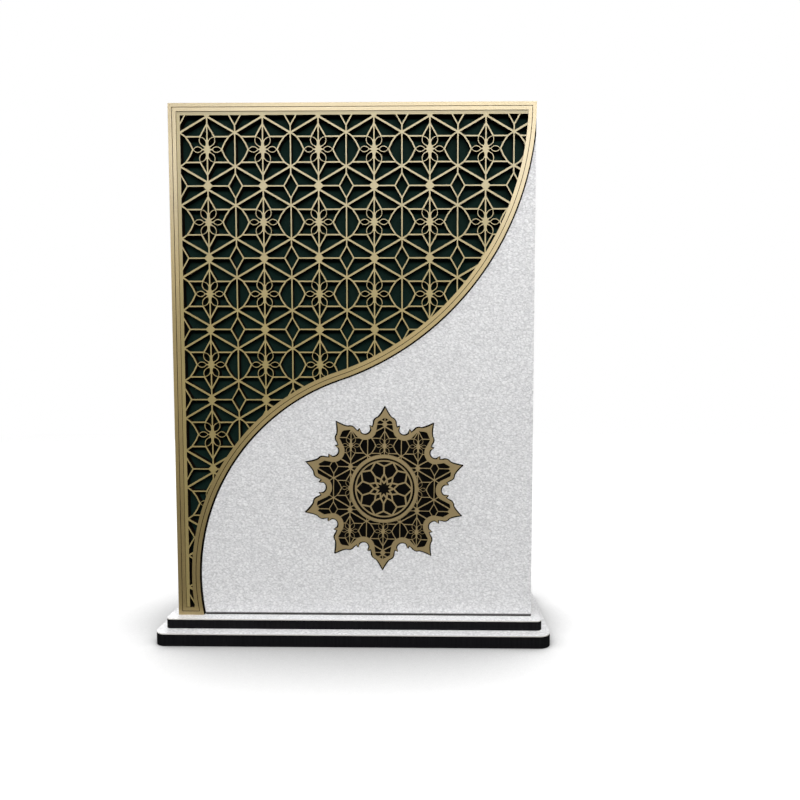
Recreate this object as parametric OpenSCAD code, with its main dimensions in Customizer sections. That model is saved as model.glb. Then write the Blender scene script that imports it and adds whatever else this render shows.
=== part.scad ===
// Upright case of thin boards, open at its right side, on a two-tier plinth.
// The front carries a pierced screen bounded by an S-curve and a ten-pointed pierced star.
// X runs to the viewer's right, the front faces -Y and Z is up, from the underside of the plinth.

/* [Case] */
// Width of the front board
case_w = 180; // [165:1:200]
// Height of the front board
case_h = 255; // [240:1:280]
// Clear depth of the bay between the front and back boards
bay_d = 42; // [30:1:60]
// Thickness of the case boards
board_t = 3; // [2.5:0.1:4]
// Thickness of the white facing on the boards
facing_t = 0.5; // [0.3:0.1:0.8]

/* [Board joints] */
// Length of each finger that locks two boards
finger_w = 24; // [16:1:30]
// Number of fingers up the closed side
side_fingers = 4; // [3:1:5]
// Number of fingers along the roof and along the floor
roof_fingers = 3; // [2:1:4]
// Length of each tab that stands in the plinth
tab_w = 20; // [12:1:26]
// Laser clearance on each side of a finger or tab
fit = 0.1; // [0.05:0.05:0.2]

/* [Plinth] */
// Thickness of the upper tier's board
upper_t = 4.5; // [3:0.1:6]
// Step of the upper tier beyond the case at each side
upper_side = 4.7; // [3:0.1:8]
// Step of the upper tier beyond the case at the front and at the back
upper_front = 7.4; // [6:0.1:14]
// Plan radius of the upper tier's corners
upper_r = 2.8; // [1:0.1:5]
// Thickness of the lower tier's board
lower_t = 5.8; // [4:0.1:9]
// Step of the lower tier beyond the upper one at each side
lower_side = 3.7; // [2:0.1:8]
// Step of the lower tier beyond the upper one at the front and at the back
lower_front = 6.3; // [4:0.1:12]
// Plan radius of the lower tier's corners
lower_r = 6; // [2:0.1:9]

/* [Screen] */
// Radius of the upper arc of the S-curve, centred on the top edge
curve_r = 142; // [130:1:150]
// Width of the screen at its narrowest, near the foot of the S-curve
foot_w = 11.2; // [10:0.1:16]
// Height of the narrowest place above the foot of the front board
foot_h = 19.8; // [15:0.1:30]
// Thickness of the dark sheet behind the screen, and of the one behind the star
backing_t = 0.6; // [0.4:0.1:1]
// How far the dark sheet shows beyond the screen along the S-curve
backing_lip = 0.8; // [0.3:0.05:1.5]
// Thickness of the pierced screen
screen_t = 1.2; // [0.8:0.1:2]
// Plain margin of the screen from its left and top edges
screen_margin = 5.7; // [4.85:0.05:8]
// Width of the frame that edges the screen
frame_w = 3.95; // [3.5:0.05:4.8]
// Thickness of the frame
frame_t = 0.4; // [0.3:0.1:1]
// Width of the line scored along the frame
score_w = 0.3; // [0.2:0.05:0.6]
// Depth of the scored line
score_d = 0.2; // [0.1:0.05:0.25]

/* [Lattice] */
// Width of one repeat of the lattice
cell_w = 27.3; // [25:0.1:32]
// Height of one repeat of the lattice
cell_h = 35.05; // [33:0.05:42]
// First flower from the left edge
flower_left = 18.95; // [15:0.05:24]
// First flower below the top edge
flower_top = 22.15; // [18:0.05:28]
// Radius of the six star tips round a flower
hexagram_r = 12.3; // [11.5:0.1:12.8]
// Height of the side knots above and below a flower
knot_h = 8; // [7.6:0.05:8.6]
// Half diagonal of the solid diamond between two flowers
diamond_r = 2.6; // [1.6:0.1:3]
// Drop from the diamond's centre to where two diagonal rails would meet
rail_drop = 1.65; // [1:0.05:2.2]
// Half width of the open rhombus between four flowers
rhombus_w = 3.45; // [2.8:0.05:4.2]
// Half height of the open rhombus
rhombus_h = 6; // [5:0.1:7]
// Bow of the strips on each side of a lens between two flowers
lens_bow = 0.3; // [0:0.05:0.5]
// Half width of the four slanting petals of a flower
petal_w = 1.7; // [1.55:0.05:1.9]
// Half width of the two level petals of a flower
level_petal_w = 1.55; // [1.4:0.05:1.7]
// Start of the slanting petals from the flower's centre
petal_r = 1.4; // [1.2:0.1:1.6]
// Start of the level petals from the flower's centre
level_r = 2.2; // [2:0.1:2.5]
// Start of the gaps between the petals from the flower's centre
gap_r = 1.35; // [1.2:0.05:1.8]
// Width of the diagonal rails
rail_w = 0.95; // [0.8:0.05:1.4]
// Width of the strips round the flowers
strip_w = 0.7; // [0.6:0.05:1.1]
// Width of the upright bars, the level strips and the edges of the open rhombi
bar_w = 0.65; // [0.5:0.05:0.9]
// Width of the fine lines round the petals
line_w = 0.4; // [0.35:0.05:0.6]

/* [Star] */
// Star centre from the left edge of the front board
star_x = 105.2; // [95:0.1:115]
// Star centre above the foot of the front board
star_z = 65.3; // [55:0.1:75]
// Clockwise turn of the star where it was glued on
star_turn = 1.1; // [-2:0.1:2]
// Radius of the ten tips
tip_r = 40.9; // [39:0.1:46]
// Control radius of the hollow flank of a tip
flank_r = 37; // [36.5:0.1:37.6]
// Half width of a tip at that radius
flank_w = 1.8; // [1.4:0.1:2.1]
// Radial place of the two round lobes under a tip
lobe_x = 33.4; // [33:0.1:33.8]
// Distance of a lobe from the tip's axis
lobe_y = 2.9; // [2.6:0.05:3.1]
// Radius of a lobe
lobe_r = 2.5; // [2.3:0.05:2.7]
// Radial place of the round bays between tips
bay_r = 31.9; // [31.5:0.1:32.4]
// Radius of a bay
notch_r = 3.2; // [2.9:0.05:3.4]
// Radius at the points of the barbs beside a bay
barb_r = 32.5; // [32:0.1:33]
// Angle of a barb from the bay's axis
barb_a = 4.6; // [4.2:0.1:5]
// Radius of the nick between a lobe and its barb
nick_r = 31.6; // [31.3:0.1:32]
// Angle of the nick from the bay's axis
nick_a = 7; // [6.6:0.1:7.4]
// Width of the plain border of the star
star_border = 2.55; // [2:0.05:2.8]
// Radius at the points of the pierced field
field_tip_r = 36; // [34.5:0.1:37.5]
// Radius of the pierced field's shoulders
field_lobe_r = 0.8; // [0.4:0.1:1.2]
// How far the black sheet shows beyond the star
star_lip = 0.5; // [0.2:0.05:0.8]
// Thickness of the pierced star
star_t = 1.2; // [0.8:0.1:2]
// Size of the star's lattice against the screen's
star_scale = 0.62; // [0.58:0.01:0.7]

/* [Medallion] */
// Radius of the round opening in the star
round_r = 15.6; // [15:0.1:16.5]
// Width of the raised ring round the opening
ring_w = 1.5; // [1:0.1:1.8]
// Height of the raised ring
ring_t = 0.4; // [0.3:0.1:0.8]
// Width of the star's band outside the ring
hub_band = 0.3; // [0.2:0.1:1.5]
// Thickness of the black disc
disc_t = 0.5; // [0.4:0.1:0.8]
// Thickness of the rosette on the disc
rosette_t = 0.5; // [0.3:0.1:0.8]
// Radius of the rosette
rosette_r = 14.6; // [13.8:0.1:14.8]
// Radius at the points of the rosette's inner star
heart_r = 5; // [4.6:0.1:5.6]
// Radius at the hollows of the inner star
hollow_r = 2.9; // [2.6:0.1:3.2]
// Radius at the outer points of the kites
kite_r = 7.6; // [7:0.1:8.2]
// Radius at the shoulders of the rosette's petals
shoulder_r = 11.4; // [10.6:0.1:12]
// Width of the rosette's lines
rosette_w = 0.8; // [0.6:0.05:0.9]

/* [Hidden] */
$fn = 96;

gold = "#b99b5e";
white = "#e4e4e6";
black = "#19191b";
brown = "#6b4f35";
green = "#0e2c27";

// Heights, from the ground up
upper_z = lower_t + facing_t;
case_z = upper_z + upper_t + facing_t;

// The cores of the boards stop short of the facings on the closed side and on the roof
core_h = case_h - facing_t;
shell_d = bay_d + 2 * board_t;
face_y = -shell_d / 2 - facing_t;

// Plan sizes of the plinth
tier_w = case_w + 2 * upper_side;
tier_d = shell_d + 2 * facing_t + 2 * upper_front;
base_w = tier_w + 2 * lower_side;
base_d = tier_d + 2 * lower_front;

// A tab goes through the facing and the upper tier
tab_h = facing_t + upper_t - fit;

// The middle third of the bay's depth is the side's finger, the outer thirds are the roof's and the floor's
lock_d = bay_d / 3;

// Two arcs make the S-curve: the lower one is tangent to the upper one and to the narrowest width
upper_c = [case_w - curve_r, case_h];
foot_dx = foot_w - upper_c.x;
foot_dz = foot_h - upper_c.y;
foot_r = (foot_dx ^ 2 + foot_dz ^ 2 - curve_r ^ 2) / (2 * (curve_r - foot_dx));
foot_c = [foot_w + foot_r, foot_h];
turn_a = atan2(foot_c.y - upper_c.y, foot_c.x - upper_c.x);
turn = upper_c + curve_r * [cos(turn_a), sin(turn_a)];
curve_steps = 40;

// Points on an arc about c
function arc(c, r, from, to, steps) =
    [for (i = [0 : steps]) let (a = from + (to - from) * i / steps) c + r * [cos(a), sin(a)]];

// Points on a quadratic curve from a to c, bent towards b
function bend(a, b, c, steps) =
    [for (i = [0 : steps]) let (t = i / steps) (1 - t) ^ 2 * a + 2 * t * (1 - t) * b + t ^ 2 * c];

function after_first(p) = [for (i = [1 : len(p) - 1]) p[i]];

function turned(p, a) = [p.x * cos(a) - p.y * sin(a), p.x * sin(a) + p.y * cos(a)];

function polar(r, a) = r * [cos(a), sin(a)];

function left_of(a, b) = let (d = b - a) [-d.y, d.x] / norm(d);

// A counter-clockwise outline with each edge moved inwards by its own width
function inset(p, w) = let (n = len(p)) [
    for (i = [0 : n - 1])
        let (
            j = (i + n - 1) % n,
            m = left_of(p[j], p[i]),
            k = left_of(p[i], p[(i + 1) % n])
        )
        p[i] + [w[j] * k.y - w[i] * m.y, w[i] * m.x - w[j] * k.x] / (m.x * k.y - m.y * k.x)
];

// A point beside the middle of a to b, to its left
function bowed(a, b, h) = (a + b) / 2 + h * left_of(a, b);

function evenly(p, w) = inset(p, times(len(p), w));

// What is left of an outline on the side of a line where p * n is over c
function clipped(p, n, c) = [
    for (i = [0 : len(p) - 1])
        let (
            a = p[i],
            b = p[(i + 1) % len(p)],
            da = a * n - c,
            db = b * n - c
        )
        each [if (da >= 0) a, if (da * db < 0) a + (b - a) * da / (da - db)]
];

// Outline of the screen, moved in from the left, top and foot edges and from the S-curve.
// A curve moved outwards is cut off at the right edge of the board.
function screen_outline(left, top, foot, curve) =
    let (
        r = foot_r + curve,
        s = curve_r - curve,
        foot_a = 180 + asin((foot_h - foot) / r),
        top_a = curve < 0 ? -acos(curve_r / s) : -asin(top / s)
    )
    concat(
        [[left, foot]],
        arc(foot_c, r, foot_a, turn_a + 180, curve_steps),
        after_first(arc(upper_c, s, turn_a, top_a, curve_steps)),
        curve < 0 ? [[case_w, case_h - top]] : [],
        [[left, case_h - top]]
    );

// Whether a point lies on the screen's side of the S-curve, clear of the frame
function on_screen(p) =
    p.y >= turn.y ? p.x <= upper_c.x || norm(p - upper_c) <= curve_r - frame_w
    : p.x < foot_c.x && norm(p - foot_c) >= foot_r + frame_w;

// Knots of the lattice in the upper right quarter of a repeat, from the flower's centre
half_w = cell_w / 2;
half_h = cell_h / 2;
knot_d = [0, half_h];
rail_d = [0, half_h - rail_drop];
knot_n = [half_w, knot_h];
tip_90 = polar(hexagram_r, 90);
tip_30 = polar(hexagram_r, 30);
vale_r = hexagram_r / sqrt(3);
vale_60 = polar(vale_r, 60);
vale_0 = polar(vale_r, 0);
rhombus_side = [half_w - rhombus_w, half_h];
rhombus_foot = [half_w, half_h - rhombus_h];
rhombus_far = [half_w + rhombus_w, half_h];
rhombus_top = [half_w, half_h + rhombus_h];
lens_in = bowed(tip_30, vale_0, -lens_bow);
lens_out = bowed(knot_n, tip_30, -lens_bow / 2);
rail = rail_w / 2;
strip = strip_w / 2;
bar = bar_w / 2;
line = line_w / 2;

// One side of a leaf along X, from its start to its end
leaf_steps = 6;
leaf_swell = 0.7;
function leaf_side(from, to, w, first = 1) = [
    for (i = [first : leaf_steps - 1])
        let (t = i / leaf_steps)
        [from + (to - from) * t, w * sin(180 * t) ^ leaf_swell]
];
function flipped(p, s) = [for (q = p) [q.x * s.x, q.y * s.y]];
function all_turned(p, a) = [for (q = p) turned(q, a)];
function backwards(p) = [for (i = [len(p) - 1 : -1 : 0]) p[i]];
function times(n, w) = [for (i = [1 : n]) w];

// The petals' edges: the level one's, the slanting one's below, and above from its middle on
edge_0 = leaf_side(level_r, vale_r, level_petal_w);
edge_60 = all_turned(flipped(leaf_side(petal_r, vale_r, petal_w), [1, -1]), 60);
crown_60 = all_turned(leaf_side(petal_r, vale_r, petal_w, leaf_steps / 2), 60);

// Openings of the lattice in that quarter, each edge moved in by half its strip.
// Those that meet at the diamond are cut back to it.
function off_diamond(p) = clipped(p, [1, -1], diamond_r - half_h);
pane_shoulder = off_diamond(inset(
    [rail_d, tip_90, vale_60, tip_30, lens_out, knot_n],
    [strip, strip, strip, strip, strip, rail]
));
pane_field = off_diamond(inset(
    [knot_d, rail_d, knot_n, rhombus_foot, rhombus_side],
    [strip, rail, bar, bar, bar]
));
lens_half = [knot_n, lens_out, tip_30, lens_in];
pane_side = inset(
    concat(lens_half, [vale_0], backwards(flipped(lens_half, [1, -1]))),
    concat(times(2 * len(lens_half), strip), [bar])
);
pane_lancet = inset(
    concat([tip_90, [0, crown_60[0].y]], crown_60, [vale_60]),
    concat([bar], times(len(crown_60) + 1, 0), [strip])
);
pane_tip = inset(
    concat([tip_30, vale_60], backwards(edge_60), [polar(gap_r, 30), [level_r, line]],
        edge_0, [vale_0, lens_in]),
    concat([strip], times(len(edge_60) + len(edge_0) + 3, 0), [strip, strip])
);
pane_rhombus = evenly([rhombus_side, rhombus_foot, rhombus_far, rhombus_top], bar);

// The opening in a petal, a leaf along X
function pane_leaf(from, w) =
    let (
        start = from + line_w,
        end = vale_r - strip,
        side = leaf_side(start, end, w - line_w)
    )
    concat([[start, 0]], flipped(side, [1, -1]), [[end, 0]], backwards(side));

quarters = [[1, 1], [-1, 1], [-1, -1], [1, -1]];
cell_panes = concat(
    [for (s = quarters, p = [pane_shoulder, pane_field, pane_lancet, pane_tip]) flipped(p, s)],
    [pane_side, flipped(pane_side, [-1, 1]), pane_rhombus],
    [for (a = [0, 180]) all_turned(pane_leaf(level_r, level_petal_w), a)],
    [for (a = [60, 120, 240, 300]) all_turned(pane_leaf(petal_r, petal_w), a)]
);

// The openings of a block of repeats, at any size, in place
function lattice(origin, size, first, last) = [
    for (i = [first.x : last.x], j = [first.y : last.y], p = cell_panes)
        [for (q = p) origin + size * (q + [i * cell_w, j * cell_h])]
];

// Points spread over an opening
function spread(p) = let (c = times(len(p), 1) * p / len(p)) concat(p, [c], [for (q = p) (q + c) / 2]);

// Openings that reach into the screen's field
function in_field(p) = p.x > screen_margin && p.y > frame_w && p.y < case_h - screen_margin && on_screen(p);
flower_0 = [flower_left, case_h - flower_top];
screen_cells = [ceil(case_w / cell_w), ceil(case_h / cell_h)];
screen_panes = [
    for (p = lattice(flower_0, 1, [-1, -screen_cells.y], [screen_cells.x, 1]))
        if (len([for (q = spread(p)) if (in_field(q)) q]) > 0) p
];

// Openings that reach into the star's field, outside the round
hub_r = round_r + ring_w + hub_band;
star_cells = [ceil(tip_r / star_scale / cell_w), ceil(tip_r / star_scale / cell_h)];
star_panes = [
    for (p = lattice([0, 0], star_scale, -star_cells, star_cells))
        if (len([for (q = spread(p)) if (norm(q) > hub_r && norm(q) < tip_r) q]) > 0) p
];

// Half of a tip's outline, along X from its point to the middle of the next bay
tips = 10;
half_a = 180 / tips;
arc_steps = 6;
lobe_c = [lobe_x, lobe_y];
bay_c = polar(bay_r, half_a);
lobe_from = 14;
lobe_to = 95;
bay_from = 262;
bay_to = 180 + half_a;
function tip_half(grow) =
    let (
        lobe = arc(lobe_c, lobe_r + grow, lobe_from, lobe_to, arc_steps),
        point = [tip_r + 2 * grow, 0]
    )
    concat(
        bend(point, [flank_r + grow, flank_w + grow], lobe[0], arc_steps),
        after_first(lobe),
        [polar(nick_r + grow, half_a - nick_a), polar(barb_r + grow, half_a - barb_a)],
        arc(bay_c, notch_r - grow, bay_from, bay_to, arc_steps)
    );

// The same half for the pierced field inside the border, without barbs
field_lobe_from = 40;
field_bay_from = 252;
field_half = concat(
    [[field_tip_r, 0]],
    arc(lobe_c, field_lobe_r, field_lobe_from, lobe_to, arc_steps / 2),
    arc(bay_c, notch_r + star_border, field_bay_from, bay_to, arc_steps)
);

// A whole star from half a tip
function star_of(half) = let (n = len(half)) [
    for (k = [0 : tips - 1], i = [1 - n : n - 2])
        turned([half[abs(i)].x, sign(i) * half[abs(i)].y], 90 + k * 2 * half_a)
];

// Openings of the ten-fold rosette
rim_r = rosette_r - rosette_w / 2;
rosette_panes = concat(
    [[for (k = [0 : 2 * tips - 1]) polar(k % 2 == 0 ? heart_r : hollow_r, k * half_a)]],
    [for (k = [0 : tips - 1]) let (a = 2 * k * half_a) each [
        [polar(hollow_r, a + half_a), polar(heart_r, a),
         polar(kite_r, a + half_a), polar(heart_r, a + 2 * half_a)],
        [polar(heart_r, a), polar(kite_r, a - half_a), polar(shoulder_r, a - half_a),
         polar(rim_r, a), polar(shoulder_r, a + half_a), polar(kite_r, a + half_a)],
        concat([polar(shoulder_r, a + half_a)], arc([0, 0], rim_r, a, a + 2 * half_a, arc_steps))
    ]]
);

// Places of the fingers up the side and along the roof, and of the tabs between the floor's fingers
side_at = [for (i = [0 : side_fingers - 1]) core_h * (i + 1 / 2) / side_fingers];
roof_at = [for (i = [0 : roof_fingers - 1]) case_w * (i + 1 / 2) / roof_fingers];
tab_at = [for (i = [1 : roof_fingers - 1]) case_w * i / roof_fingers];

// A rectangle in plan with round corners
module plate(w, d, r) {
    square([w, d - 2 * r], center = true);
    square([w - 2 * r, d], center = true);
    for (x = [-1, 1], y = [-1, 1])
        translate([x * (w / 2 - r), y * (d / 2 - r)])
            circle(r);
}

// Slots in plan for the tabs of the front and back boards
module tab_slots() {
    for (x = tab_at, y = [-1, 1])
        translate([x - case_w / 2, y * (bay_d + board_t) / 2])
            square([tab_w + 2 * fit, board_t + 2 * fit], center = true);
}

// A sheet on the front face, drawn from the lower left corner of the front board
module on_front(lift, t) {
    translate([-case_w / 2, face_y - lift, case_z])
        rotate([90, 0, 0])
            linear_extrude(t)
                children();
}

// The star's place on the front board
module at_star() {
    translate([star_x, star_z])
        rotate(-star_turn)
            children();
}

// Front or back board: tabs below, notches for the fingers of side, roof and floor
module board_profile() {
    difference() {
        union() {
            translate([facing_t, 0])
                square([case_w - facing_t, core_h]);
            for (x = tab_at)
                translate([x - tab_w / 2, -tab_h])
                    square([tab_w, tab_h]);
        }
        for (z = side_at)
            translate([0, z - finger_w / 2 - fit])
                square([facing_t + board_t + fit, finger_w + 2 * fit]);
        for (x = roof_at, z = [-facing_t, core_h - board_t - fit])
            translate([x - finger_w / 2 - fit, z])
                square([finger_w + 2 * fit, board_t + facing_t + fit]);
    }
}

// Roof or floor: fingers into both boards and, in the outer thirds, into the side
module slab() {
    translate([-case_w / 2, 0])
        linear_extrude(board_t) {
            translate([facing_t + board_t, -bay_d / 2])
                square([case_w - facing_t - board_t, bay_d]);
            for (x = roof_at)
                translate([x, 0])
                    square([finger_w, shell_d], center = true);
            for (y = [-bay_d / 2, lock_d / 2 + fit])
                translate([facing_t, y])
                    square([board_t, lock_d - fit]);
        }
}

module lower_plinth() {
    color(black)
        linear_extrude(lower_t)
            plate(base_w, base_d, lower_r);
}

module lower_plinth_facing() {
    color(white)
        translate([0, 0, lower_t])
            linear_extrude(facing_t)
                plate(base_w, base_d, lower_r);
}

module upper_plinth() {
    color(black)
        translate([0, 0, upper_z])
            linear_extrude(upper_t)
                difference() {
                    plate(tier_w, tier_d, upper_r);
                    tab_slots();
                }
}

module upper_plinth_facing() {
    color(white)
        translate([0, 0, upper_z + upper_t])
            linear_extrude(facing_t)
                difference() {
                    plate(tier_w, tier_d, upper_r);
                    tab_slots();
                }
}

module floor_panel() {
    color(brown)
        translate([0, 0, case_z])
            slab();
}

module top_panel() {
    color(brown)
        translate([0, 0, case_z + core_h - board_t])
            slab();
}

module side_panel() {
    color(brown)
        translate([facing_t - case_w / 2, 0, case_z])
            rotate([90, 0, 90])
                linear_extrude(board_t) {
                    translate([-bay_d / 2, board_t])
                        square([bay_d, core_h - 2 * board_t]);
                    translate([-lock_d / 2, 0])
                        square([lock_d, core_h]);
                    for (z = side_at)
                        translate([0, z])
                            square([shell_d, finger_w], center = true);
                }
}

module back_panel() {
    color(brown)
        translate([-case_w / 2, shell_d / 2, case_z])
            rotate([90, 0, 0])
                linear_extrude(board_t)
                    board_profile();
}

module front_panel() {
    color(brown)
        translate([-case_w / 2, -bay_d / 2, case_z])
            rotate([90, 0, 0])
                linear_extrude(board_t)
                    board_profile();
}

module front_facing() {
    color(white)
        translate([-case_w / 2, face_y, case_z])
            cube([case_w, facing_t, case_h]);
}

module back_facing() {
    color(white)
        translate([-case_w / 2, shell_d / 2, case_z])
            cube([case_w, facing_t, case_h]);
}

module side_facing() {
    color(white)
        translate([-case_w / 2, -shell_d / 2, case_z])
            cube([facing_t, shell_d, core_h]);
}

module top_facing() {
    color(white)
        translate([-case_w / 2, -shell_d / 2, case_z + core_h])
            cube([case_w, shell_d, facing_t]);
}

module screen_backing() {
    color(green)
        on_front(0, backing_t)
            polygon(screen_outline(0, 0, 0, -backing_lip));
}

module lattice_screen() {
    color(gold)
        on_front(backing_t, screen_t)
            difference() {
                polygon(screen_outline(0, 0, 0, 0));
                intersection() {
                    polygon(screen_outline(screen_margin, screen_margin, frame_w, frame_w));
                    for (p = screen_panes)
                        polygon(p);
                }
            }
}

// A band along the frame, from one distance inside its edge to another
module frame_band(from, to) {
    difference() {
        polygon(screen_outline(from, from, from, from));
        polygon(screen_outline(to, to, to, to));
    }
}

module border_frame() {
    frame_lift = backing_t + screen_t;
    color(gold)
        difference() {
            on_front(frame_lift, frame_t)
                frame_band(0, frame_w);
            on_front(frame_lift + frame_t - score_d, 2 * score_d)
                frame_band((frame_w - score_w) / 2, (frame_w + score_w) / 2);
        }
}

module star_backing() {
    color(black)
        on_front(0, backing_t)
            at_star()
                polygon(star_of(tip_half(star_lip)));
}

module star_fretwork() {
    color(gold)
        on_front(backing_t, star_t)
            at_star()
                difference() {
                    polygon(star_of(tip_half(0)));
                    circle(round_r);
                    intersection() {
                        difference() {
                            polygon(star_of(field_half));
                            circle(hub_r);
                        }
                        for (p = star_panes)
                            polygon(p);
                    }
                }
}

module medallion_disc() {
    color(black)
        on_front(backing_t, disc_t)
            at_star()
                circle(round_r - fit);
}

module medallion_ring() {
    color(gold)
        on_front(backing_t + star_t, ring_t)
            at_star()
                difference() {
                    circle(round_r + ring_w);
                    circle(round_r);
                }
}

module medallion_rosette() {
    color(gold)
        on_front(backing_t + disc_t, rosette_t)
            at_star()
                difference() {
                    circle(rosette_r);
                    for (p = rosette_panes)
                        polygon(evenly(p, rosette_w / 2));
                }
}

lower_plinth();
lower_plinth_facing();
upper_plinth();
upper_plinth_facing();
floor_panel();
top_panel();
side_panel();
back_panel();
front_panel();
front_facing();
back_facing();
side_facing();
top_facing();
screen_backing();
lattice_screen();
border_frame();
star_backing();
star_fretwork();
medallion_disc();
medallion_ring();
medallion_rosette();
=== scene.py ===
import math

import bmesh
import bpy
from mathutils import Euler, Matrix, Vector


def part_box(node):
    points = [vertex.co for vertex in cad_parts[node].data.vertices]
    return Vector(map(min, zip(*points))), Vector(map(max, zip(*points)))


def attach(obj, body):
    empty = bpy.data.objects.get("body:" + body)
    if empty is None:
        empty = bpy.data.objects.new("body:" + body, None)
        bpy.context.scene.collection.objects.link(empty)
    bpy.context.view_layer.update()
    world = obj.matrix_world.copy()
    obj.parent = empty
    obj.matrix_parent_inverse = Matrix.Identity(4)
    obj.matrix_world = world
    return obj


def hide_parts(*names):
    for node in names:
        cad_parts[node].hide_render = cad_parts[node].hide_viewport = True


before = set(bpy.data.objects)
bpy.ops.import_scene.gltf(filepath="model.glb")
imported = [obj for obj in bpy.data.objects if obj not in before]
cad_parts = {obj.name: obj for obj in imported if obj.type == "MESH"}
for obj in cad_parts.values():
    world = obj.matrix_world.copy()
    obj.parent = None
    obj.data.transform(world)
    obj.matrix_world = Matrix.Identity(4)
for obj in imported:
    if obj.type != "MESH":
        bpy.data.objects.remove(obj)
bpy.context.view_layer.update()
print("frame loaded:", len(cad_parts), "nodes")

perMetre = 1000.0
upward, downward = (0.0, 1.0), (1.0, 0.0)
acrossX, acrossY, acrossZ = (1.0, 0.0, 0.0), (0.0, 1.0, 0.0), (0.0, 0.0, 1.0)
nodeGrid = {"columns": 6, "step": (220, -280), "shader": (1500, 0), "output": (1850, 0)}
# sockets of the Mix node: factor, first, second, result
mixSockets = {"FLOAT": (0, 2, 3, 0), "RGBA": (0, 6, 7, 2)}


# a socket takes a link or a plain value
def feed(tree, socket, value):
    if isinstance(value, bpy.types.NodeSocket):
        tree.links.new(value, socket)
    else:
        socket.default_value = value


# nodes lie in rows, in the order in which they are made
def put(tree, kind, **settings):
    row, column = divmod(len(tree.nodes), nodeGrid["columns"])
    node = tree.nodes.new(kind)
    node.location = (column * nodeGrid["step"][0], row * nodeGrid["step"][1])
    for name, value in settings.items():
        setattr(node, name, value)
    return node


def sums(tree, operation, *values):
    node = put(tree, "ShaderNodeMath", operation=operation)
    for socket, value in zip(node.inputs, values):
        feed(tree, socket, value)
    return node.outputs[0]


def weigh(tree, values, shares):
    total = 0.0
    for value, share in zip(values, shares):
        total = sums(tree, "MULTIPLY_ADD", value, share, total)
    return total


def spread(tree, value, source, target):
    node = put(tree, "ShaderNodeMapRange", clamp=True)
    labels = ("Value", "From Min", "From Max", "To Min", "To Max")
    for label, end in zip(labels, (value, *source, *target)):
        feed(tree, node.inputs[label], end)
    return node.outputs["Result"]


def mix(tree, kind, *values):
    node = put(tree, "ShaderNodeMix", data_type=kind)
    *ends, result = mixSockets[kind]
    for index, value in zip(ends, values):
        feed(tree, node.inputs[index], value)
    return node.outputs[result]


def tint(tree, amount, first, second):
    return mix(tree, "RGBA", amount, first, second)


def noise(tree, place, scale, detail, distortion=0.0, result="Fac"):
    node = put(tree, "ShaderNodeTexNoise")
    feed(tree, node.inputs["Vector"], place)
    node.inputs["Scale"].default_value = scale
    node.inputs["Detail"].default_value = detail
    node.inputs["Distortion"].default_value = distortion
    return node.outputs[result]


def newGroup(name, inputs, outputs):
    group = bpy.data.node_groups.new(name, "ShaderNodeTree")
    for label, kind, value in inputs:
        socket = group.interface.new_socket(name=label, in_out="INPUT", socket_type=kind)
        socket.default_value = value
    for label, kind in outputs:
        group.interface.new_socket(name=label, in_out="OUTPUT", socket_type=kind)
    return group, put(group, "NodeGroupInput"), put(group, "NodeGroupOutput")


# object coordinates in millimetres, squeezed along an axis where a grain runs
def inMillimetres(tree, stretch=(1.0, 1.0, 1.0)):
    where = put(tree, "ShaderNodeTexCoord")
    mapping = put(tree, "ShaderNodeMapping")
    mapping.inputs["Scale"].default_value = [perMetre * s for s in stretch]
    tree.links.new(where.outputs["Object"], mapping.inputs["Vector"])
    return mapping.outputs["Vector"]


def along(tree, axis, place):
    axes = put(tree, "ShaderNodeSeparateXYZ")
    tree.links.new(place, axes.inputs[0])
    return axes.outputs[axis]


# the walls that the laser cut, told from the sheet's two faces
cutWallLook = {"facing": (0.45, 0.8)}
cutWall, wallIn, wallOut = newGroup(
    "cutWall", [("Face Axis", "NodeSocketVector", acrossY)], [("Wall", "NodeSocketFloat")]
)
wallNormal = put(cutWall, "ShaderNodeTexCoord")
wallDot = put(cutWall, "ShaderNodeVectorMath", operation="DOT_PRODUCT")
feed(cutWall, wallDot.inputs[0], wallNormal.outputs["Normal"])
feed(cutWall, wallDot.inputs[1], wallIn.outputs["Face Axis"])
wallFacing = sums(cutWall, "ABSOLUTE", wallDot.outputs["Value"])
feed(cutWall, wallOut.inputs["Wall"], spread(cutWall, wallFacing, cutWallLook["facing"], downward))

# pressed fibres and dust: a fine speckle, a broad cloud and a height
fibreLook = {"fine": (1.6, 3.0), "middle": (0.55, 2.0, 0.6), "wide": (0.035, 2.0), "range": (0.3, 0.7)}
fibre, fibreIn, fibreOut = newGroup(
    "fibre",
    [("Size", "NodeSocketFloat", 1.0)],
    [("Speckle", "NodeSocketFloat"), ("Cloud", "NodeSocketFloat"), ("Height", "NodeSocketFloat")],
)
fibreScaled = put(fibre, "ShaderNodeVectorMath", operation="SCALE")
feed(fibre, fibreScaled.inputs[0], inMillimetres(fibre))
feed(fibre, fibreScaled.inputs["Scale"], fibreIn.outputs["Size"])
fibreFine, fibreMiddle, fibreWide = [
    noise(fibre, fibreScaled.outputs[0], *fibreLook[layer]) for layer in ("fine", "middle", "wide")
]
feed(fibre, fibreOut.inputs["Speckle"], spread(fibre, fibreFine, fibreLook["range"], upward))
feed(fibre, fibreOut.inputs["Cloud"], spread(fibre, fibreWide, fibreLook["range"], upward))
feed(fibre, fibreOut.inputs["Height"], sums(fibre, "ADD", fibreFine, fibreMiddle))
print("shared grain groups built")


def newMaterial(name):
    material = bpy.data.materials.new(name)
    material.use_nodes = True
    tree = material.node_tree
    shader = tree.nodes["Principled BSDF"]
    shader.location = nodeGrid["shader"]
    tree.nodes["Material Output"].location = nodeGrid["output"]
    return material, tree, shader


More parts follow.
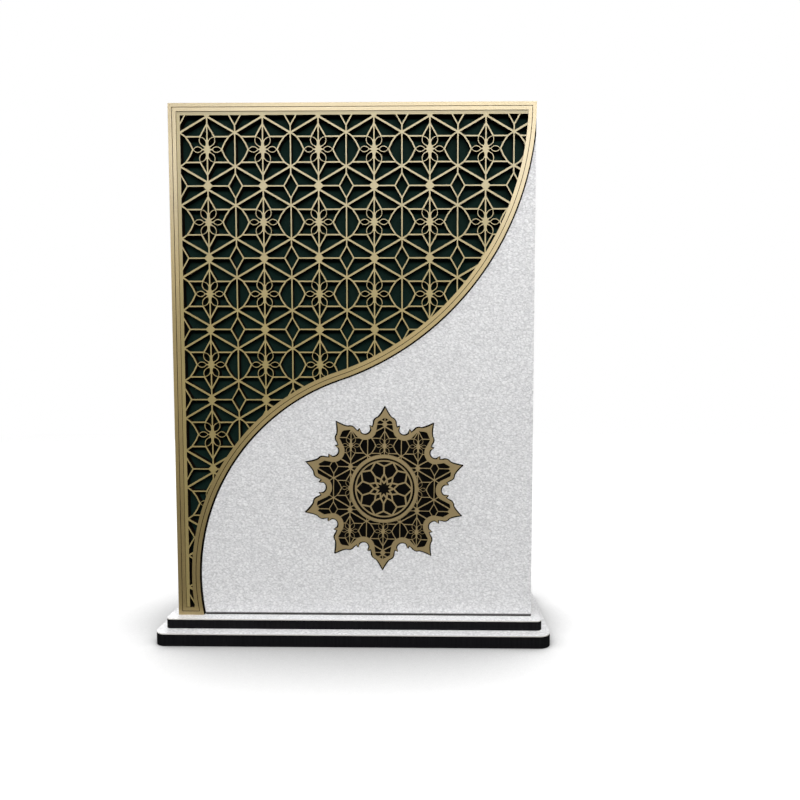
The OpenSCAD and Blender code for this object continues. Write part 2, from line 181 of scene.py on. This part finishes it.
def placeGroup(tree, group, **values):
    node = put(tree, "ShaderNodeGroup", node_tree=group)
    for label, value in values.items():
        node.inputs[label.replace("_", " ")].default_value = value
    return node


def roughen(tree, shader, height, strength, distance):
    bump = put(tree, "ShaderNodeBump")
    bump.inputs["Strength"].default_value = strength
    bump.inputs["Distance"].default_value = distance
    feed(tree, bump.inputs["Height"], height)
    feed(tree, shader.inputs["Normal"], bump.outputs["Normal"])


# satin gold lacquer on thin board, its walls browned by the laser
# the pierced pieces are duller than the frame
piercedGold = {"metallic": 0.88, "satin": (0.77, 0.83), "coatIndex": 1.58}
goldKinds = {
    "frame": {
        "light": (0.490, 0.376, 0.156, 1.0),
        "deep": (0.360, 0.272, 0.108, 1.0),
        "metallic": 0.925,
        "satin": (0.60, 0.64),
        "coatIndex": 1.8,
    },
    "fretwork": {
        "light": (0.545, 0.448, 0.200, 1.0),
        "deep": (0.430, 0.350, 0.152, 1.0),
        **piercedGold,
    },
    "star": {
        "light": (0.520, 0.413, 0.218, 1.0),
        "deep": (0.400, 0.315, 0.164, 1.0),
        **piercedGold,
    },
}
goldFinish = {
    "wall": (0.010, 0.0065, 0.004, 1.0),
    "wallRough": 0.85,
    "gloss": 0.03,
    "coat": 1.0,
    "coatRough": 0.32,
    "mottle": (0.6, 0.4),
    "scored": (0.05, 0.12),
    "bump": (0.25, 0.0001),
}


# front is the depth of a scored piece's face, so that its groove can be darkened
def makeGold(name, kind, front=None):
    finish = goldKinds[kind]
    material, tree, shader = newMaterial(name)
    wall = placeGroup(tree, cutWall).outputs["Wall"]
    if front is not None:
        groove = [front + depth for depth in goldFinish["scored"]]
        line = spread(tree, along(tree, "Y", inMillimetres(tree)), groove, upward)
        wall = sums(tree, "MAXIMUM", wall, line)
    grain = placeGroup(tree, fibre)
    mottle = weigh(tree, (grain.outputs["Speckle"], grain.outputs["Cloud"]), goldFinish["mottle"])
    face = tint(tree, mottle, finish["deep"], finish["light"])
    satin = spread(tree, grain.outputs["Speckle"], upward, finish["satin"])
    feed(tree, shader.inputs["Base Color"], tint(tree, wall, face, goldFinish["wall"]))
    feed(tree, shader.inputs["Metallic"], spread(tree, wall, upward, (finish["metallic"], 0.0)))
    feed(tree, shader.inputs["Roughness"], mix(tree, "FLOAT", wall, satin, goldFinish["wallRough"]))
    feed(tree, shader.inputs["Coat Weight"], spread(tree, wall, upward, (goldFinish["coat"], 0.0)))
    shader.inputs["Coat Roughness"].default_value = goldFinish["coatRough"]
    shader.inputs["Coat IOR"].default_value = finish["coatIndex"]
    shader.inputs["Specular IOR Level"].default_value = goldFinish["gloss"]
    roughen(tree, shader, grain.outputs["Height"], *goldFinish["bump"])
    return material


# white foil pressed with a crinkled grain whose low parts and creases are painted darker as shade, with
# random tone, and a painted shadow line along its foot where it stands on the plinth (millimetres)
foilFinish = {
    "light": (0.93, 0.93, 0.935, 1.0),
    "creaseShade": (0.50, 0.50, 0.51, 1.0),
    "wall": (0.62, 0.60, 0.56, 1.0),
    "footShadow": (0.03, 0.028, 0.026, 1.0),
    "footShadowTop": (0.9, 1.5),
    "rough": (0.6, 0.42),
    "run": (0.7, 1.0, 1.0),
    "fine": (1.5, 2.0),
    "fineRange": (0.3, 0.7),
    "swirl": (0.5, 2.0),
    "bend": (2.5, 2.5, 2.5),
    "pebble": 0.6,
    "pebbleRange": (0.02, 0.25),
    "broad": (0.4, 3.0),
    "broadRange": (0.25, 0.75),
    "shares": (0.55, 0.3, 0.15),
    "bump": (0.6, 0.0002),
}


def makeFoil(name, axis, foot=None):
    material, tree, shader = newMaterial(name)
    wall = placeGroup(tree, cutWall, Face_Axis=axis).outputs["Wall"]
    place = inMillimetres(tree, foilFinish["run"])
    fine = spread(tree, noise(tree, place, *foilFinish["fine"]), foilFinish["fineRange"], upward)
    broad = spread(tree, noise(tree, place, *foilFinish["broad"]), foilFinish["broadRange"], upward)
    bent = put(tree, "ShaderNodeVectorMath", operation="MULTIPLY_ADD")
    feed(tree, bent.inputs[0], noise(tree, place, *foilFinish["swirl"], result="Color"))
    feed(tree, bent.inputs[1], foilFinish["bend"])
    feed(tree, bent.inputs[2], place)
    cells = put(tree, "ShaderNodeTexVoronoi", feature="DISTANCE_TO_EDGE")
    cells.inputs["Scale"].default_value = foilFinish["pebble"]
    feed(tree, cells.inputs["Vector"], bent.outputs[0])
    pebble = spread(tree, cells.outputs["Distance"], foilFinish["pebbleRange"], upward)
    skin = weigh(tree, (fine, pebble, broad), foilFinish["shares"])
    # the grain's low parts and creases are painted darker as shade, mixed with random tone
    face = tint(tree, skin, foilFinish["creaseShade"], foilFinish["light"])
    face = tint(tree, wall, face, foilFinish["wall"])
    # a painted shadow line darkens the foil along its foot, where it meets the plinth
    if foot is not None:
        footShadow = [foot + top for top in foilFinish["footShadowTop"]]
        line = spread(tree, along(tree, "Z", place), footShadow, downward)
        face = tint(tree, line, face, foilFinish["footShadow"])
    feed(tree, shader.inputs["Base Color"], face)
    feed(tree, shader.inputs["Roughness"], spread(tree, skin, upward, foilFinish["rough"]))
    roughen(tree, shader, skin, *foilFinish["bump"])
    return material


# fibreboard: a face with fine fibres, and walls striped by the laser
boardFinish = {
    "face": (0.40, 0.285, 0.18, 1.0),
    "fleck": (0.27, 0.18, 0.105, 1.0),
    "wall": (0.065, 0.038, 0.022, 1.0),
    "scorch": (0.022, 0.013, 0.008, 1.0),
    "rough": (0.6, 0.85),
    "gloss": 0.3,
}
blackFinish = {
    "face": (0.009, 0.009, 0.010, 1.0),
    "fleck": (0.006, 0.006, 0.007, 1.0),
    "wall": (0.006, 0.006, 0.007, 1.0),
    "scorch": (0.003, 0.003, 0.004, 1.0),
    "rough": (0.7, 0.9),
    "gloss": 0.1,
}
boardGrain = {
    "fibre": 1.2,
    "stripe": 0.05,
    "ripple": (1.1, 3.0),
    "rippleRange": (0.35, 0.65),
    "bump": (0.3, 0.0001),
}


def makeBoard(name, axis, finish):
    material, tree, shader = newMaterial(name)
    wall = placeGroup(tree, cutWall, Face_Axis=axis).outputs["Wall"]
    grain = placeGroup(tree, fibre, Size=boardGrain["fibre"])
    place = inMillimetres(tree, [boardGrain["stripe"] if side else 1.0 for side in axis])
    ripple = spread(tree, noise(tree, place, *boardGrain["ripple"]), boardGrain["rippleRange"], upward)
    face = tint(tree, grain.outputs["Speckle"], finish["fleck"], finish["face"])
    edge = tint(tree, ripple, finish["scorch"], finish["wall"])
    feed(tree, shader.inputs["Base Color"], tint(tree, wall, face, edge))
    feed(tree, shader.inputs["Roughness"], spread(tree, grain.outputs["Speckle"], upward, finish["rough"]))
    shader.inputs["Specular IOR Level"].default_value = finish["gloss"]
    roughen(tree, shader, grain.outputs["Height"], *boardGrain["bump"])
    return material


# dark card behind the piercing
cardKinds = {
    "greenCard": {"light": (0.0095, 0.0255, 0.0205, 1.0), "deep": (0.0050, 0.0150, 0.0118, 1.0)},
    "blackCard": {"light": (0.0045, 0.004, 0.0035, 1.0), "deep": (0.002, 0.002, 0.0015, 1.0)},
}
cardFinish = {
    "burnt": (0.005, 0.004, 0.0035, 1.0),
    "burntFade": 0.1,
    "fibre": 2.0,
    "rough": (0.65, 0.85),
    "gloss": 0.03,
    "bump": (0.3, 0.0001),
}


# rim is the depth down to which the card's edge is burnt
def makeCard(name, rim=None):
    finish = cardKinds[name]
    material, tree, shader = newMaterial(name)
    grain = placeGroup(tree, fibre, Size=cardFinish["fibre"])
    face = tint(tree, grain.outputs["Speckle"], finish["deep"], finish["light"])
    if rim is not None:
        fade = (rim, rim + cardFinish["burntFade"])
        burn = spread(tree, along(tree, "Y", inMillimetres(tree)), fade, downward)
        face = tint(tree, burn, face, cardFinish["burnt"])
    feed(tree, shader.inputs["Base Color"], face)
    feed(tree, shader.inputs["Roughness"], spread(tree, grain.outputs["Cloud"], upward, cardFinish["rough"]))
    shader.inputs["Specular IOR Level"].default_value = cardFinish["gloss"]
    roughen(tree, shader, grain.outputs["Height"], *cardFinish["bump"])
    return material


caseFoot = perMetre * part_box("front_facing")[0][2]
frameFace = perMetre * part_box("border_frame")[0][1]
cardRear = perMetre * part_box("screen_backing")[1][1]
dressing = {
    makeGold("goldFretwork", "fretwork"): ["lattice_screen"],
    makeGold("goldStar", "star"): ["star_fretwork", "medallion_ring", "medallion_rosette"],
    makeGold("goldScored", "frame", frameFace): ["border_frame"],
    makeFoil("foilFront", acrossY, caseFoot): ["front_facing", "back_facing"],
    makeFoil("foilSide", acrossX, caseFoot): ["side_facing"],
    makeFoil("foilTop", acrossZ): ["top_facing", "upper_plinth_facing", "lower_plinth_facing"],
    makeBoard("boardFront", acrossY, boardFinish): ["front_panel", "back_panel"],
    makeBoard("boardSide", acrossX, boardFinish): ["side_panel"],
    makeBoard("boardFlat", acrossZ, boardFinish): ["floor_panel", "top_panel"],
    makeBoard("plinthBlack", acrossZ, blackFinish): ["upper_plinth", "lower_plinth"],
    makeCard("greenCard", cardRear): ["screen_backing"],
    makeCard("blackCard"): ["star_backing", "medallion_disc"],
}
for material, names in dressing.items():
    for name in names:
        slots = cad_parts[name].data.materials
        slots.clear()
        slots.append(material)
print("materials on", sum(len(names) for names in dressing.values()), "pieces")

# the front's layers lie almost flush: the white one is as thick as the gold ones and cut round them,
# and the card behind the screen is dished into the front board, so that the openings are deep (metres)
layerLook = {
    "whiteRise": 0.0012,
    "kerf": 0.00005,
    "overlap": 0.001,
    "rim": 0.0038,
    "wall": 0.0006,
    "depth": 0.0024,
    "clear": 0.00005,
    "lip": 0.0003,
    # shifts of the star's cut: the widened kerf's black walls add a painted shadow beside the star
    "starShadowSteps": ((0.0, 0.0, 0.0), (-0.0003, -0.00005, 0.0001), (0.0001, -0.0001, -0.0002)),
}
meshLook = {"weld": 1e-6, "flatAngle": 0.001, "facing": 0.9}
# small openings at the screen's corner and foot, from the front's lower left corner
smallPanes = [
    [(0.0057, 0.2493), (0.00776, 0.2493), (0.0057, 0.24572)],
    [
        (0.0057, 0.01098),
        (0.0080, 0.0070),
        (0.00776, 0.0095),
        (0.00762, 0.0110),
        (0.00752, 0.0125),
        (0.0057, 0.01355),
    ],
]
frontCorner = Vector(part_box("front_facing")[0])
frontTop = Vector(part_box("front_facing")[1])
cardFront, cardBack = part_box("screen_backing")[0][1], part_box("screen_backing")[1][1]


def mergedCopy(node, flatten=False):
    shape = bmesh.new()
    shape.from_mesh(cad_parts[node].data)
    bmesh.ops.remove_doubles(shape, verts=shape.verts, dist=meshLook["weld"])
    if flatten:
        bmesh.ops.dissolve_limit(
            shape, angle_limit=meshLook["flatAngle"], verts=shape.verts, edges=shape.edges
        )
    return shape


def newPiece(name, shape, node):
    mesh = bpy.data.meshes.new(name)
    shape.to_mesh(mesh)
    shape.free()
    mesh.materials.clear()
    mesh.materials.append(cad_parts[node].data.materials[0])
    piece = bpy.data.objects.new(name, mesh)
    bpy.context.scene.collection.objects.link(piece)
    return piece


def rideAs(piece, node, instead=True):
    if instead:
        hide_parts(node)
    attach(piece, "root")


# the largest face on the front (side -1) or the back (side 1) of a sheet
def sheetFace(shape, side):
    faces = [f for f in shape.faces if f.normal.y * side > meshLook["facing"]]
    return max(faces, key=lambda f: f.calc_area())


def insetSheet(shape, face, rim):
    bmesh.ops.inset_region(
        shape, faces=[face], thickness=rim, use_even_offset=True, use_boundary=True
    )


# one flat face becomes a solid between two depths
def thicken(shape, front, back):
    rise = front - shape.faces[:][0].verts[0].co.y
    bmesh.ops.translate(shape, vec=(0.0, rise, 0.0), verts=shape.verts)
    grown = bmesh.ops.extrude_face_region(shape, geom=shape.faces[:])["geom"]
    ends = [v for v in grown if isinstance(v, bmesh.types.BMVert)]
    bmesh.ops.translate(shape, vec=(0.0, back - front, 0.0), verts=ends)
    bmesh.ops.recalc_face_normals(shape, faces=shape.faces)


# a sheet's outline, moved in by rim and past the front's three straight edges by overlap
def sheetShape(node, rim, front, back, overlap=0.0):
    shape = mergedCopy(node, True)
    face = sheetFace(shape, -1)
    if rim:
        insetSheet(shape, face, rim)
    bmesh.ops.delete(shape, geom=[f for f in shape.faces if f != face], context="FACES")
    if overlap:
        near = 2 * rim
        left = [v for v in shape.verts if v.co.x < frontCorner.x + near]
        top = [v for v in shape.verts if v.co.z > frontTop.z - near]
        foot = [v for v in shape.verts if v.co.z < frontCorner.z + near]
        for verts, step in ((left, (-overlap, 0, 0)), (top, (0, 0, overlap)), (foot, (0, 0, -overlap))):
            bmesh.ops.translate(shape, vec=step, verts=verts)
    thicken(shape, front, back)
    return shape


# a cut leaves burnt walls
def carve(piece, shape, operation="DIFFERENCE"):
    plug = newPiece("plug", shape, "star_backing")
    cut = piece.modifiers.new("cut", "BOOLEAN")
    cut.object, cut.operation, cut.solver, cut.material_mode = plug, operation, "EXACT", "TRANSFER"
    view = bpy.context.evaluated_depsgraph_get()
    mesh = bpy.data.meshes.new_from_object(piece.evaluated_get(view))
    piece.modifiers.clear()
    piece.data = mesh
    bpy.data.objects.remove(plug)


def makeDish():
    lip = layerLook["lip"]
    shape = sheetShape("screen_backing", lip, cardFront, cardBack)
    for side, rim in ((-1, layerLook["rim"] - lip), (1, layerLook["rim"] - layerLook["wall"] - lip)):
        face = sheetFace(shape, side)
        insetSheet(shape, face, rim)
        floor = bmesh.ops.extrude_discrete_faces(shape, faces=[face])["faces"][0]
        bmesh.ops.translate(shape, vec=(0.0, layerLook["depth"], 0.0), verts=floor.verts)
    bmesh.ops.recalc_face_normals(shape, faces=shape.faces)
    rideAs(newPiece("screenDish", shape, "screen_backing"), "screen_backing")


def makeFront():
    rise, clear = layerLook["whiteRise"], layerLook["clear"]
    before = cardFront - 2 * rise
    pocketRim = layerLook["rim"] - layerLook["wall"] - clear
    pocket = (pocketRim, before, cardBack + layerLook["depth"] + clear)
    shape = mergedCopy("front_facing")
    face = [v for v in shape.verts if v.co.y < frontCorner.y + clear]
    bmesh.ops.translate(shape, vec=(0.0, -rise, 0.0), verts=face)
    foil = newPiece("frontFoil", shape, "front_facing")
    carve(foil, sheetShape("screen_backing", layerLook["kerf"], before, cardBack, layerLook["overlap"]))
    # small steps widen the star's kerf towards the upper left and lower right, so that its black walls there
    # also stand as a painted shadow
    for step in layerLook["starShadowSteps"]:
        shape = sheetShape("star_backing", 0.0, before, cardBack)
        bmesh.ops.translate(shape, vec=step, verts=shape.verts)
        carve(foil, shape)
    carve(foil, sheetShape("screen_backing", *pocket))
    rideAs(foil, "front_facing")
    board = newPiece("frontBoard", mergedCopy("front_panel"), "front_panel")
    carve(board, sheetShape("screen_backing", *pocket))
    rideAs(board, "front_panel")


def makeScreen():
    front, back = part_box("lattice_screen")[0][1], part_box("lattice_screen")[1][1]
    before, behind = front - layerLook["overlap"], back + layerLook["overlap"]
    screen = newPiece("latticeScreen", mergedCopy("lattice_screen"), "lattice_screen")
    for outline in smallPanes:
        shape = bmesh.new()
        corners = [shape.verts.new((frontCorner.x + u, front, frontCorner.z + v)) for u, v in outline]
        bmesh.ops.contextual_create(shape, geom=corners)
        thicken(shape, before, behind)
        carve(screen, shape)
    # the same openings go on through the layer behind it
    shape = bmesh.new()
    shape.from_mesh(screen.data)
    bmesh.ops.translate(shape, vec=(0.0, -front, 0.0), verts=shape.verts)
    bmesh.ops.scale(shape, vec=(1.0, layerLook["depth"] / (back - front), 1.0), verts=shape.verts)
    bmesh.ops.translate(shape, vec=(0.0, back, 0.0), verts=shape.verts)
    core = newPiece("latticeCore", shape, "lattice_screen")
    rim = layerLook["rim"] + layerLook["clear"]
    carve(core, sheetShape("screen_backing", rim, before, back + 2 * layerLook["depth"]), "INTERSECT")
    rideAs(screen, "lattice_screen")
    rideAs(core, "lattice_screen", False)
    print("screen cut:", len(screen.data.polygons), "faces, layer behind it:", len(core.data.polygons))


makeDish()
makeFront()
makeScreen()
print("front layers set flush")

# pale floor, white where the camera or a reflection sees it, greyer where the object shades it
floorLook = {
    "reach": ((-0.9, -0.17), (0.9, 1.1)),
    "drop": 0.0001,
    "colour": (0.30, 0.30, 0.30, 1.0),
    "seenColour": (0.25, 0.25, 0.25, 1.0),
    "mirrorColour": (0.04, 0.04, 0.04, 1.0),
    "rough": 0.9,
    "shadeReach": 0.10,
    "shadeSamples": 16,
    "shade": (0.5, 0.95),
    "glow": (0.10, 0.90),
    "glowColour": (1.0, 1.0, 1.0, 1.0),
    "mirrored": 0.02,
}


def makeFloor():
    mesh = bpy.data.meshes.new("floor")
    shape = bmesh.new()
    bmesh.ops.create_grid(shape, x_segments=1, y_segments=1, size=0.5)
    (left, front), (right, back) = floorLook["reach"]
    middle = ((left + right) / 2, (front + back) / 2, -floorLook["drop"])
    bmesh.ops.scale(shape, vec=(right - left, back - front, 1.0), verts=shape.verts)
    bmesh.ops.translate(shape, vec=middle, verts=shape.verts)
    shape.to_mesh(mesh)
    shape.free()
    floor = bpy.data.objects.new("floor", mesh)
    bpy.context.scene.collection.objects.link(floor)
    material, tree, shader = newMaterial("floorPale")
    path = put(tree, "ShaderNodeLightPath")
    seen, glossy = path.outputs["Is Camera Ray"], path.outputs["Is Glossy Ray"]
    both = sums(tree, "MAXIMUM", seen, sums(tree, "MULTIPLY", glossy, floorLook["mirrored"]))
    shown = tint(tree, seen, floorLook["colour"], floorLook["seenColour"])
    shown = tint(tree, glossy, shown, floorLook["mirrorColour"])
    feed(tree, shader.inputs["Base Color"], shown)
    shader.inputs["Roughness"].default_value = floorLook["rough"]
    shader.inputs["Specular IOR Level"].default_value = 0.0
    shade = put(tree, "ShaderNodeAmbientOcclusion", samples=floorLook["shadeSamples"])
    shade.inputs["Distance"].default_value = floorLook["shadeReach"]
    glow = spread(tree, shade.outputs["AO"], floorLook["shade"], floorLook["glow"])
    shader.inputs["Emission Color"].default_value = floorLook["glowColour"]
    feed(tree, shader.inputs["Emission Strength"], sums(tree, "MULTIPLY", both, glow))
    mesh.materials.append(material)


makeFloor()

# studio: a dim room that is lighter overhead, white behind the object
roomLook = {"rise": (-0.3, 0.9), "strength": (0.05, 0.30), "seen": 1.0, "colour": (1.0, 1.0, 1.0, 1.0)}


def makeRoom():
    world = bpy.data.worlds.new("room")
    bpy.context.scene.world = world
    world.use_nodes = True
    tree = world.node_tree
    ground = tree.nodes["Background"]
    around = put(tree, "ShaderNodeTexCoord").outputs["Generated"]
    rise = spread(tree, along(tree, "Z", around), roomLook["rise"], roomLook["strength"])
    behind = sums(tree, "GREATER_THAN", along(tree, "Y", around), 0.0)
    path = put(tree, "ShaderNodeLightPath")
    mirror = sums(tree, "MAXIMUM", path.outputs["Is Glossy Ray"], path.outputs["Is Transmission Ray"])
    mirror = sums(tree, "MULTIPLY", mirror, behind)
    shown = sums(tree, "MAXIMUM", path.outputs["Is Camera Ray"], mirror)
    ground.inputs["Color"].default_value = roomLook["colour"]
    feed(tree, ground.inputs["Strength"], mix(tree, "FLOAT", shown, rise, roomLook["seen"]))


makeRoom()

lamps = {
    "frontSoftbox": {"place": (0.10, -0.775, 0.53), "size": (1.2, 0.2), "power": 6.9},
    "backSoftbox": {"place": (-0.3, 1.0, 0.30), "size": (1.0, 0.4), "power": 7.5},
    "overheadSoftbox": {"place": (0.1, -0.25, 1.25), "size": (0.9, 0.5), "power": 8.2},
}
lampAim = Vector((0.0, 0.0, 0.14))


def makeLamp(name, settings):
    data = bpy.data.lights.new(name, "AREA")
    data.shape = "RECTANGLE"
    data.size, data.size_y = settings["size"]
    data.energy = settings["power"]
    lamp = bpy.data.objects.new(name, data)
    lamp.location = settings["place"]
    lamp.visible_camera = False
    lamp.rotation_euler = (lampAim - lamp.location).to_track_quat("-Z", "Y").to_euler()
    bpy.context.scene.collection.objects.link(lamp)


for name, settings in lamps.items():
    makeLamp(name, settings)
print("floor, room and", len(lamps), "lamps set")

# camera in front, a little right of the middle, tipped down
cameraLook = {
    "place": (0.0396, -0.3284, 0.1322),
    "turn": (3.2748, 0.7859, -0.0641),
    "focal": 605.0,
    "centre": (424.1, 413.1),
    "frame": 800.0,
    "sensor": 36.0,
    "nearest": 0.01,
}


def makeCamera():
    data = bpy.data.cameras.new("camera")
    data.sensor_width = cameraLook["sensor"]
    data.lens = cameraLook["focal"] / cameraLook["frame"] * data.sensor_width
    data.shift_x = 0.5 - cameraLook["centre"][0] / cameraLook["frame"]
    data.shift_y = cameraLook["centre"][1] / cameraLook["frame"] - 0.5
    data.clip_start = cameraLook["nearest"]
    camera = bpy.data.objects.new("camera", data)
    down, left, roll = [math.radians(a) for a in cameraLook["turn"]]
    camera.location = cameraLook["place"]
    camera.rotation_euler = Euler((math.pi / 2 - down, roll, left), "XYZ")
    bpy.context.scene.collection.objects.link(camera)
    bpy.context.scene.camera = camera


makeCamera()
bpy.context.scene.view_settings.view_transform = "Standard"
print("camera placed")
